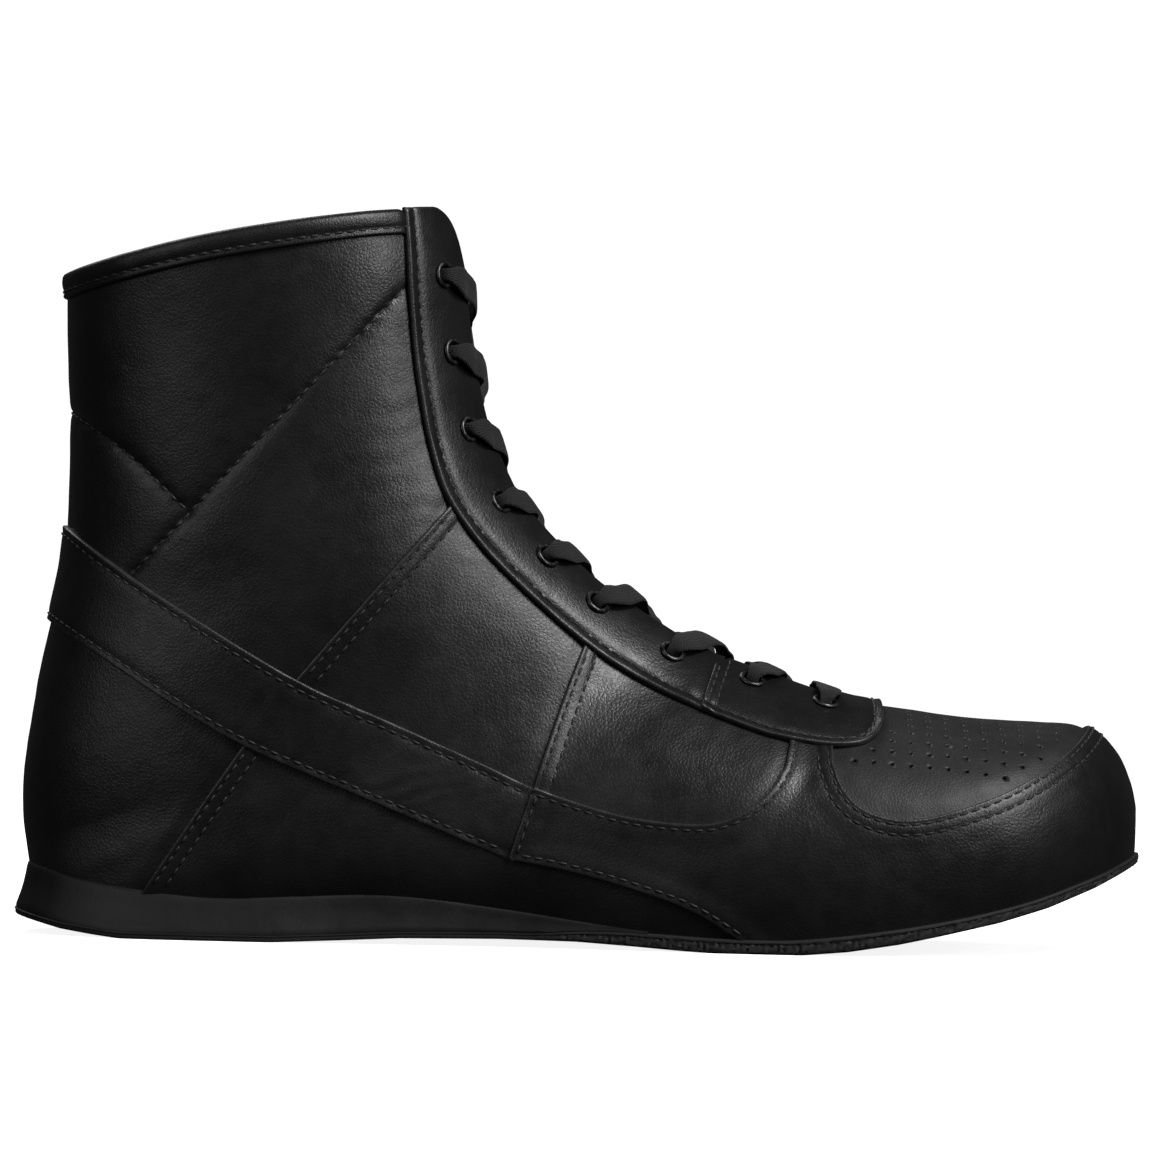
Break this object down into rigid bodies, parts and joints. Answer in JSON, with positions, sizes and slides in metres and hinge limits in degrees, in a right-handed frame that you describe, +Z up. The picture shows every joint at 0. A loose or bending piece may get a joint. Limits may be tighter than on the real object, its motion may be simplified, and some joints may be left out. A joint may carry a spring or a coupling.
{
  "type": "boxing boot",
  "caption": "Mid-height lace-up leather boot for boxing, right foot: thin flexible sole, low heel wedge, wrapped ankle band, perforated vamp and long open throat.",
  "frame": {"origin": "on the floor, at the middle of the bounding box in plan", "axes": "+X towards the toe, +Z up, the lateral (outer) side of the foot towards -Y"},
  "size_m": [0.2952, 0.1038, 0.1922],
  "materials": {
    "smooth_leather": "black full-grain leather, soft semi-gloss",
    "perforated_leather": "black leather, matte, with rows of small punched holes",
    "tongue_leather": "soft black leather over foam",
    "sole_rubber": "black rubber with a knurled edge",
    "wedge_rubber": "smooth black rubber",
    "lining_textile": "black textile over thin foam",
    "stiffener": "pressed fibre stiffener",
    "board": "cellulose insole board",
    "eyelet_metal": "black enamelled, worn brighter at the rim",
    "lace_weave": "flat woven black lace",
    "lace_tip": "black plastic tip"
  },
  "bodies": {
    "boot": {"outsole": "sole_rubber", "heel_wedge": "wedge_rubber", "insole_board": "board", "sock_liner": "lining_textile", "lining": "lining_textile", "heel_counter": "stiffener", "toe_puff": "stiffener", "mudguard": "smooth_leather", "vamp": "perforated_leather", "heel_foxing": "smooth_leather", "shaft_panel_lateral": "smooth_leather", "shaft_panel_medial": "smooth_leather", "middle_quarter_lateral": "smooth_leather", "middle_quarter_medial": "smooth_leather", "front_quarter_lateral": "smooth_leather", "front_quarter_medial": "smooth_leather", "lower_quarter_lateral": "smooth_leather", "lower_quarter_medial": "smooth_leather", "eyestay_lateral": "smooth_leather", "eyestay_medial": "smooth_leather", "throat_stay": "smooth_leather", "ankle_band": "smooth_leather", "collar_binding": "smooth_leather", "eyelet_lateral_1": "eyelet_metal", "eyelet_lateral_2": "eyelet_metal", "eyelet_lateral_3": "eyelet_metal", "eyelet_lateral_4": "eyelet_metal", "eyelet_lateral_5": "eyelet_metal", "eyelet_lateral_6": "eyelet_metal", "eyelet_lateral_7": "eyelet_metal", "eyelet_lateral_8": "eyelet_metal", "eyelet_lateral_9": "eyelet_metal", "eyelet_medial_1": "eyelet_metal", "eyelet_medial_2": "eyelet_metal", "eyelet_medial_3": "eyelet_metal", "eyelet_medial_4": "eyelet_metal", "eyelet_medial_5": "eyelet_metal", "eyelet_medial_6": "eyelet_metal", "eyelet_medial_7": "eyelet_metal", "eyelet_medial_8": "eyelet_metal", "eyelet_medial_9": "eyelet_metal", "lace": "lace_weave", "aglet_lateral": "lace_tip", "aglet_medial": "lace_tip"},
    "tongue": {"tongue": "tongue_leather"}
  },
  "joints": [
    {"name": "tongue_hinge", "type": "hinge", "parent": "boot", "child": "tongue", "pos_m": [0.0705, 0, 0.0555], "axis": [0, -1, 0], "range_deg": [0, 15]}
  ]
}
